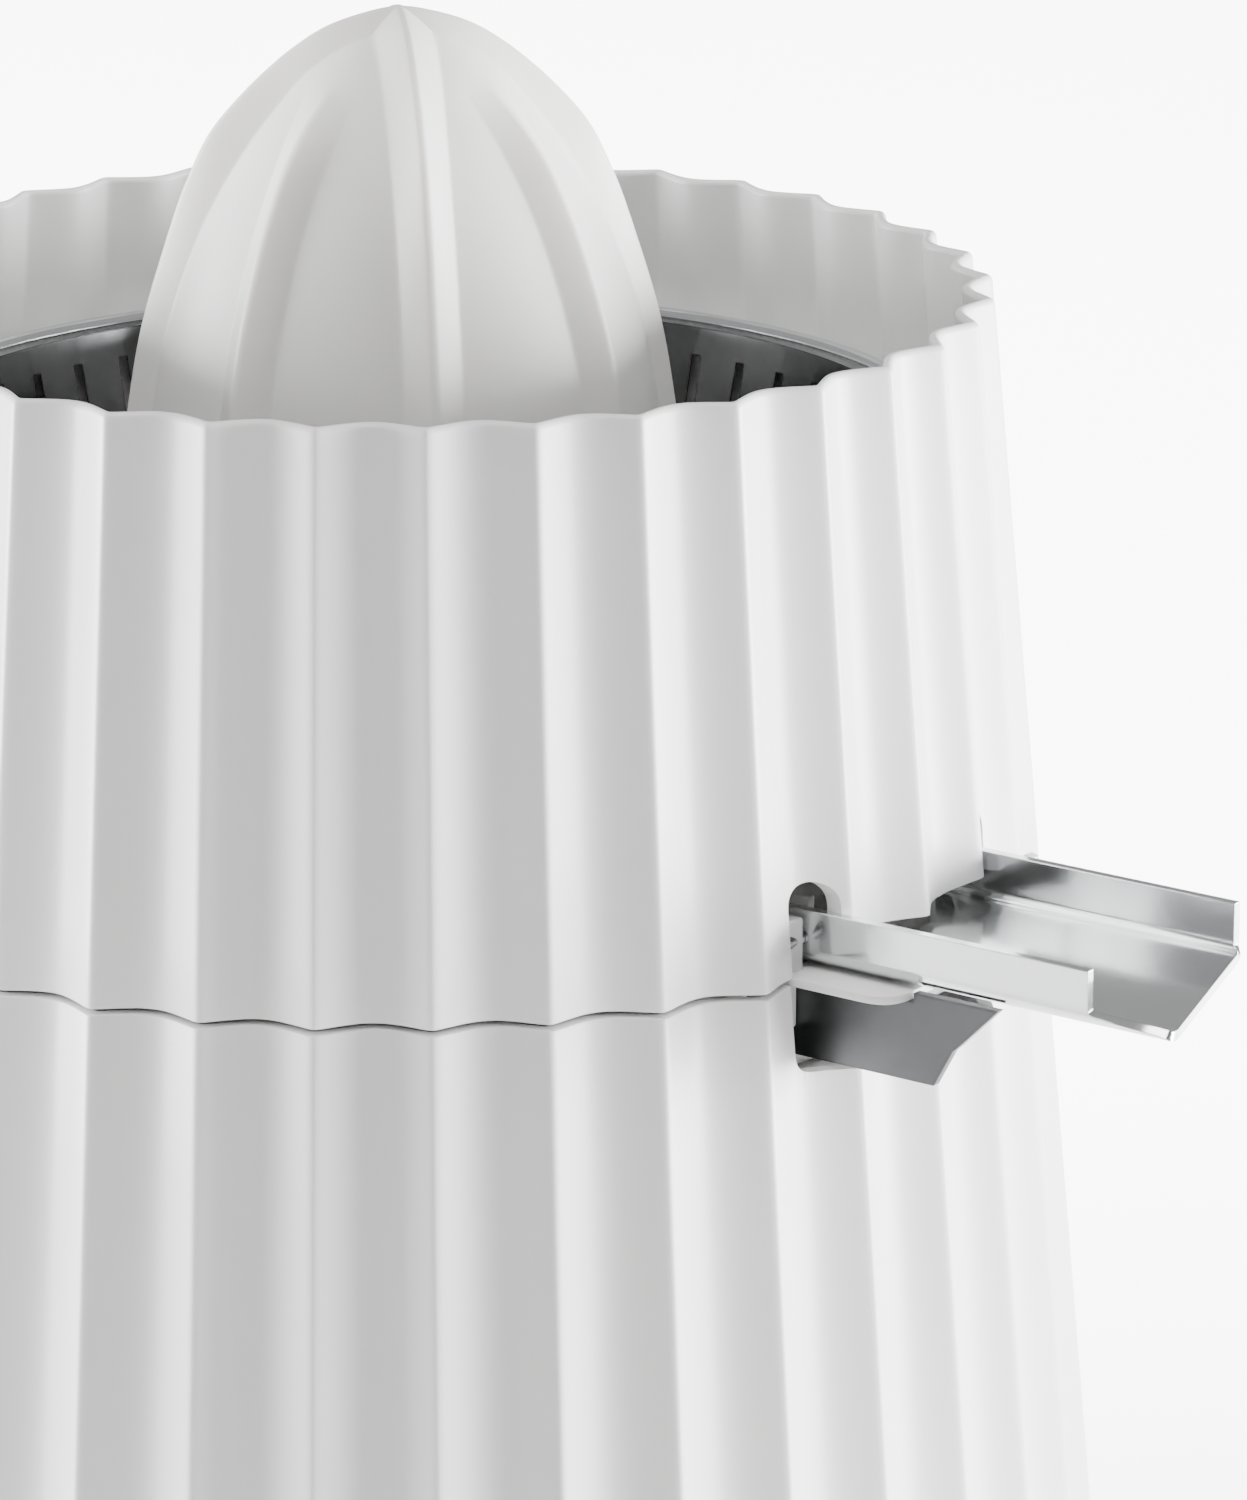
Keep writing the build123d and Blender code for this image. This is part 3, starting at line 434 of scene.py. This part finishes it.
for index in range(posts["count"]):
    turnTo = math.radians(posts["firstTurn"] + 360 / posts["count"] * index)
    for kind in ("screwPost", "baseBoss"):
        upright(f"{kind}{index}", turnTo, posts[kind])
print("collar and housing details made")


# reamer: the curves are (radius, distance under the tip) of the dome and of its two kinds of rib
reamer = {"bottom": 230.0, "height": 61.4, "ribHalf": 3.3, "ribLand": 0.22, "crestRound": 0.02,
          "rows": 130, "rowCrowding": 0.85, "columns": 576, "wall": 2.2, "boss": 8.0,
          "bossBottom": 237.3, "bossEdge": 0.4, "socketHalf": 3.4, "socketLead": 0.5,
          "socketTop": 262.5, "footEdge": [(26.6, 230.0), (26.5, 230.5)], "hollowDepth": 58,
          "hollowEvery": 12, "longRibs": (45, 135, 225, 315), "shortRibs": (0, 90, 180, 270),
          "sharp": 50}
domeCurve = np.array([(0.0, 1.6), (4.0, 2.2), (8.0, 4.2), (10.8, 6.4), (13.0, 9.0), (15.2, 11.8),
                      (17.6, 15.4), (20.4, 20.4), (23.0, 26.6), (25.3, 34.0), (27.0, 43.0),
                      (28.2, 52.0), (28.7, 61.4)])
longCurve = np.array([(0.0, 0.0), (4.0, 0.7), (8.0, 2.1), (11.2, 4.1), (14.2, 6.5), (17.2, 9.4),
                      (19.6, 12.2), (22.5, 18.0), (25.0, 25.2), (27.4, 33.4), (29.0, 42.4),
                      (30.0, 51.4), (30.6, 61.4)])
shortCurve = np.array([(0.0, 1.6), (4.0, 2.2), (8.0, 4.2), (10.8, 6.4), (13.4, 8.4), (16.6, 11.1),
                       (19.0, 13.7), (22.1, 18.8), (25.1, 25.6), (27.6, 33.4), (29.0, 42.4),
                       (30.0, 51.4), (30.6, 61.4)])


def smoothCurve(points, count=600):
    # a curve through the points, cubic between each two with its slope taken from their neighbours
    steps = np.concatenate([[0], np.cumsum(np.linalg.norm(np.diff(points, axis=0), axis=1))])
    slope = np.gradient(points, steps, axis=0)
    slope[0] = (slope[0][0], 0.0)  # level where it starts
    t = np.linspace(0, steps[-1], count)
    k = np.clip(np.searchsorted(steps, t, side="right") - 1, 0, len(steps) - 2)
    width = (steps[k + 1] - steps[k])[:, None]
    u = ((t - steps[k]) / (steps[k + 1] - steps[k]))[:, None]
    return ((2 * u ** 3 - 3 * u ** 2 + 1) * points[k] + (u ** 3 - 2 * u ** 2 + u) * width * slope[k]
            + (3 * u ** 2 - 2 * u ** 3) * points[k + 1] + (u ** 3 - u ** 2) * width * slope[k + 1])


def reachAt(curve, elevation):
    # distance from the middle of the reamer's foot to the curve, in the direction of that elevation
    line = smoothCurve(curve)
    r, z = np.maximum(line[:, 0], 0), reamer["height"] - line[:, 1]
    angle = np.arctan2(z, r)
    order = np.argsort(angle)
    return np.interp(elevation, angle[order], np.hypot(r, z)[order])


share = np.linspace(0, 1, reamer["rows"]) ** reamer["rowCrowding"]
elevation = (np.pi / 2) * share[:-1]
turn = np.linspace(0, 2 * np.pi, reamer["columns"], endpoint=False)
domeReach, longReach, shortReach = (reachAt(curve, elevation)[:, None]
                                    for curve in (domeCurve, longCurve, shortCurve))
farAway = 99.0  # further than any rib's foot


def ribShare(offsets, reach):
    # one at a rib's crest, falling in a straight line to nothing at its foot, whatever the radius
    radius = reach * np.cos(elevation)[:, None]
    away = np.full((len(elevation), len(turn)), farAway)
    for offset in offsets:
        gap = (turn - offset + np.pi) % (2 * np.pi) - np.pi
        side = np.where(np.abs(gap) < np.pi / 2, np.abs(radius * np.sin(gap)), farAway)
        away = np.minimum(away, side)
    fall = np.sqrt(np.maximum(away - reamer["ribLand"], 0) ** 2 + reamer["crestRound"])
    return np.clip(1 - fall / (reamer["ribHalf"] - reamer["ribLand"]), 0, 1)


longShare = ribShare(np.radians(reamer["longRibs"]), longReach)
shortShare = ribShare(np.radians(reamer["shortRibs"]), shortReach)
lift = np.maximum(longShare * (longReach - domeReach), shortShare * (shortReach - domeReach))
reach = domeReach + lift
outside = np.stack([reach * np.cos(elevation)[:, None] * np.cos(turn),
                    reach * np.cos(elevation)[:, None] * np.sin(turn),
                    reamer["bottom"] + reach * np.sin(elevation)[:, None] + 0 * turn], -1)
reamerTop = reamer["bottom"] + reamer["height"]
tip = np.array([[0, 0, reamerTop]])

# underneath: up the inside of the dome, down the boss and into its hexagonal socket
innerLine = smoothCurve(domeCurve)[::-1]
innerLine = innerLine[(innerLine[:, 0] - reamer["wall"] > reamer["boss"])
                      & (innerLine[:, 1] < reamer["hollowDepth"])][::reamer["hollowEvery"]]
hexRadius = reamer["socketHalf"] / np.cos((turn + np.pi / 6) % (np.pi / 3) - np.pi / 6)
under = list(reamer["footEdge"])
under += [(r - reamer["wall"], reamerTop - depth - reamer["wall"]) for r, depth in innerLine]
under += [(reamer["boss"], reamerTop - innerLine[-1][1] - reamer["wall"] + reamer["bossEdge"]),
          (reamer["boss"], reamer["bossBottom"] + reamer["bossEdge"]),
          (reamer["boss"] - reamer["bossEdge"], reamer["bossBottom"])]
under += [(hexRadius, reamer["bossBottom"]),
          (hexRadius, reamer["bossBottom"] + reamer["socketLead"]),
          (hexRadius, reamer["socketTop"])]
underRings = [np.stack([r * np.cos(turn), r * np.sin(turn), z + 0 * turn], -1) for r, z in under]
rings = np.concatenate([outside[::-1], np.array(underRings)])
ringCount, columnCount = rings.shape[:2]
reamerPoints = np.concatenate([rings.reshape(-1, 3), tip, [[0, 0, reamer["socketTop"]]]])
around = np.arange(columnCount)
nextAround = (around + 1) % columnCount
topFan = np.stack([np.full(columnCount, ringCount * columnCount), nextAround, around], -1)
lastRing = (ringCount - 1) * columnCount
bottomFan = np.stack([np.full(columnCount, ringCount * columnCount + 1), lastRing + around,
                      lastRing + nextAround], -1)
reamerQuads = gridQuads(ringCount, columnCount, False, True)
ribbedReamer = addMesh("ribbedReamer", reamerPoints,
                       [reamerQuads[:, ::-1], topFan[:, ::-1], bottomFan[:, ::-1]],
                       "reamer_plastic", "reamer", reamer["sharp"])
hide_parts("reamer")
print("reamer made")


def sheetSolid(name, outer, inner, finish, body):
    # two matching grids of points, the sheet's two faces, joined by a strip round their border
    rows, cols = outer.shape[:2]
    count = rows * cols
    index = np.arange(count).reshape(rows, cols)
    border = np.concatenate([index[0, :-1], index[:-1, -1], index[-1, :0:-1], index[:0:-1, 0]])
    following = np.roll(border, -1)
    faces = gridQuads(rows, cols, False, False)
    strip = np.stack([following, border, border + count, following + count], -1)
    points = np.concatenate([outer.reshape(-1, 3), inner.reshape(-1, 3)])
    return addMesh(name, points, [faces, faces[:, ::-1] + count, strip], finish, body,
                   spout["sharp"])


# spout: a bent channel whose floor runs on past its walls into a slanted lip
spout = {"halfWidth": 14.05, "sheet": 1.0, "low": 202.75, "high": 208.65, "bend": 1.9,
         "bendSteps": 10, "wallSteps": 10, "floorSteps": 16, "innerEnd": 58.0, "tailStart": 92.0,
         "straightRows": 30, "tailRows": 14, "wallEnd": 95.5, "lipNear": 104.9, "lipSlope": 0.3333,
         "lipStart": 13.0, "lipCorner": 2.6, "blendTop": 1.35, "blendHeight": 0.8,
         "pivot": (60.5, 205.6), "pinRadius": 1.25, "pinReach": 20, "sharp": 40}


def channelPath(inset):
    # wall top, down to the bend, across the floor and up the other wall, moved inwards by inset
    side, low, bend = spout["halfWidth"] - inset, spout["low"] + inset, spout["bend"] - inset
    wall = np.linspace(spout["high"], low + bend, spout["wallSteps"])
    turnDown = np.linspace(0, np.pi / 2, spout["bendSteps"])[1:]
    flat = np.linspace(-side + bend, 0, spout["floorSteps"])[1:]
    left = np.concatenate([np.stack([-side + 0 * wall, wall], -1),
                           np.stack([-side + bend - bend * np.cos(turnDown),
                                     low + bend - bend * np.sin(turnDown)], -1),
                           np.stack([flat, low + 0 * flat], -1)])
    return np.concatenate([left, (left * [-1, 1])[::-1][1:]])


outerPath, innerPath = channelPath(0.0), channelPath(spout["sheet"])
across = outerPath[:, 0]
rise = outerPath[:, 1] - spout["low"]
lipEnd = spout["lipNear"] - spout["lipSlope"] * (across + spout["lipStart"])
cornerStart = spout["halfWidth"] - spout["lipCorner"]
cornerIn = np.clip((-across - cornerStart) / spout["lipCorner"], 0, 1)
cornerIn = np.minimum(cornerIn, 0.999)  # just short of the corner's upright tangent
lipEnd = lipEnd - spout["lipCorner"] * (1 - np.sqrt(1 - cornerIn ** 2))
blendDown = np.clip((spout["blendTop"] - rise) / spout["blendHeight"], 0, 1)
endAt = (spout["wallEnd"] + np.maximum(lipEnd - spout["wallEnd"], 0)
         * blendDown ** 2 * (3 - 2 * blendDown))
straight = np.linspace(spout["innerEnd"], spout["tailStart"], spout["straightRows"])[:-1]
tail = np.linspace(0, 1, spout["tailRows"])[:, None]
along = np.concatenate([np.repeat(straight[:, None], len(across), 1),
                        spout["tailStart"] + tail * (endAt - spout["tailStart"])])
spoutOuter = np.stack([np.broadcast_to(outerPath[:, 0], along.shape), -along,
                       np.broadcast_to(outerPath[:, 1], along.shape)], -1)
spoutInner = np.stack([np.broadcast_to(innerPath[:, 0], along.shape), -along,
                       np.broadcast_to(innerPath[:, 1], along.shape)], -1)
spoutPiece = sheetSolid("spoutChannel", spoutOuter, spoutInner, "polished_steel", "spout")
pinOutline = np.stack([-spout["pivot"][0] + spout["pinRadius"] * np.cos(holeTurn),
                       spout["pivot"][1] + spout["pinRadius"] * np.sin(holeTurn)], -1)
carve(spoutPiece, slab("pinHole", pinOutline, -spout["pinReach"], spout["pinReach"], "x", 0))
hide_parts("spout")
print("spout made")

# rolled rim of the pulp filter: a bead that covers the sheet's edge
rim = {"centre": (56.6, 246.6), "radius": 1.03, "steps": 28, "columns": 384}
beadTurn = np.linspace(0, 2 * np.pi, rim["steps"], endpoint=False)
beadProfile = np.stack([rim["centre"][0] + rim["radius"] * np.cos(beadTurn),
                        rim["centre"][1] + rim["radius"] * np.sin(beadTurn)], -1)
lathe("filterRim", beadProfile, "polished_steel", "filter", rim["columns"])

# return spring: a wire wound on a helix, its section square to the wire
spring = {"coilRadius": 4.4, "wire": 0.4, "turns": 5, "low": 89.5, "high": 103.0, "travel": 2.5,
          "steps": 260, "around": 12}
along = np.linspace(0, 1, spring["steps"])[:, None]
wound = 2 * np.pi * spring["turns"] * along
lowest, highest = spring["low"] + spring["wire"], spring["high"] - spring["wire"]
outward = np.concatenate([np.cos(wound), np.sin(wound), 0 * wound], 1)
centreLine = outward * spring["coilRadius"]
centreLine[:, 2:] = lowest + (highest - lowest) * along
climb = (highest - lowest) / (2 * np.pi * spring["turns"])
forward = np.concatenate([-spring["coilRadius"] * np.sin(wound),
                          spring["coilRadius"] * np.cos(wound), climb + 0 * wound], 1)
forward /= np.linalg.norm(forward, axis=1, keepdims=True)
upward = np.cross(forward, outward)
section = np.linspace(0, 2 * np.pi, spring["around"], endpoint=False)[None, :, None]
wire = centreLine[:, None] + spring["wire"] * (outward[:, None] * np.cos(section)
                                               + upward[:, None] * np.sin(section))
endRows = np.arange(spring["around"])
lastRow = endRows + (spring["steps"] - 1) * spring["around"]
springPiece = addMesh("returnSpring", wire.reshape(-1, 3),
                      [gridQuads(spring["steps"], spring["around"], False, True),
                       endRows[None, ::-1], lastRow[None, :]], "plain_steel", "base")
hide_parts("press_return_spring")
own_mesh(springPiece)
print("filter rim and spring made")

# floor, and a world that is darker over the camera's side so that the steel has something to mirror
stage = {"floorHalf": 9.0, "worldWhite": 0.44, "worldDark": 0.06, "darkFrom": 0.35,
         "darkTo": 0.88, "darkLevel": 0.45}
floorLook = {"colour": (0.90, 0.90, 0.90), "colourTwo": (0.88, 0.88, 0.88), "patchScale": 3,
             "grainScale": 300, "rough": 0.8, "roughSpread": 0.1, "bump": 0.02}
corners = np.array([(-1, -1, 0), (1, -1, 0), (1, 1, 0), (-1, 1, 0)]) * stage["floorHalf"]
floorMesh = bpy.data.meshes.new("floor")
floorMesh.from_pydata(corners.tolist(), [], [(0, 1, 2, 3)])
floor = bpy.data.objects.new("floor", floorMesh)
bpy.context.scene.collection.objects.link(floor)
floorMesh.materials.append(makeFinish("floorPaint", floorLook))

cameraPlace = {"location": (-0.6316, -0.4912, 0.4497), "tilt": 73.39, "turn": -53.79,
               "lens": 188.6, "sensor": 36, "reach": 30}
cameraData = bpy.data.cameras.new("camera")
cameraData.lens = cameraPlace["lens"]
cameraData.sensor_fit = "AUTO"
cameraData.sensor_width = cameraPlace["sensor"]
cameraData.clip_end = cameraPlace["reach"]
camera = bpy.data.objects.new("camera", cameraData)
camera.location = cameraPlace["location"]
camera.rotation_euler = (math.radians(cameraPlace["tilt"]), 0,
                         math.radians(cameraPlace["turn"]))
bpy.context.scene.collection.objects.link(camera)
bpy.context.scene.camera = camera

world = bpy.data.worlds.new("studio")
world.use_nodes = True
bpy.context.scene.world = world
tree = world.node_tree
background = tree.nodes["Background"]
toward = np.array(cameraPlace["location"]) * [1, 1, stage["darkLevel"]]
toward = toward / np.linalg.norm(toward)
direction = tree.nodes.new("ShaderNodeTexCoord")
facing = tree.nodes.new("ShaderNodeVectorMath")
facing.operation = "DOT_PRODUCT"
facing.inputs[1].default_value = tuple(toward)
tree.links.new(direction.outputs["Generated"], facing.inputs[0])
shade = tree.nodes.new("ShaderNodeMapRange")
shade.interpolation_type = "SMOOTHSTEP"
shade.inputs["From Min"].default_value = stage["darkFrom"]
shade.inputs["From Max"].default_value = stage["darkTo"]
shade.inputs["To Min"].default_value = stage["worldWhite"]
shade.inputs["To Max"].default_value = stage["worldDark"]
tree.links.new(facing.outputs["Value"], shade.inputs["Value"])
tree.links.new(shade.outputs["Result"], background.inputs["Strength"])
background.inputs["Color"].default_value = (1, 1, 1, 1)


def softBox(name, place, aim, size, power):
    # a rectangular soft light at place that looks at aim
    data = bpy.data.lights.new(name, "AREA")
    data.shape = "RECTANGLE"
    data.size, data.size_y = size
    data.energy = power
    lamp = bpy.data.objects.new(name, data)
    lamp.location = place
    look = np.array(aim) - np.array(place)
    flat = math.hypot(look[0], look[1])
    lamp.rotation_euler = (math.atan2(flat, -look[2]), 0, math.atan2(look[0], -look[1]) + math.pi)
    bpy.context.scene.collection.objects.link(lamp)


viewTurn = math.atan2(cameraPlace["location"][1], cameraPlace["location"][0])
aim = (0, 0, 0.2)
# turns are in degrees from the camera's side, and the other sizes in metres
lights = {"left": {"turn": 100, "distance": 0.9, "height": 0.21, "size": (0.7, 0.42), "power": 32},
          "right": {"turn": -92, "distance": 0.9, "height": 0.21, "size": (0.8, 0.42), "power": 46},
          "above": {"turn": 10, "distance": 0.35, "height": 1.35, "size": (0.7, 0.7), "power": 13}}
for name, light in lights.items():
    a = viewTurn - math.radians(light["turn"])
    place = (light["distance"] * math.cos(a), light["distance"] * math.sin(a), light["height"])
    softBox(name + "SoftBox", place, aim, light["size"], light["power"])

# a spot behind the object that whitens the floor round it
sweep = {"distance": 1.15, "height": 2.4, "power": 2400, "cone": 48, "softness": 0.5, "size": 0.2}
sweepData = bpy.data.lights.new("sweepSpot", "SPOT")
sweepData.energy = sweep["power"]
sweepData.spot_size = math.radians(sweep["cone"])
sweepData.spot_blend = sweep["softness"]
sweepData.shadow_soft_size = sweep["size"]
sweepSpot = bpy.data.objects.new("sweepSpot", sweepData)
sweepSpot.location = (-sweep["distance"] * math.cos(viewTurn),
                      -sweep["distance"] * math.sin(viewTurn), sweep["height"])
bpy.context.scene.collection.objects.link(sweepSpot)
print("stage, lights and camera made")
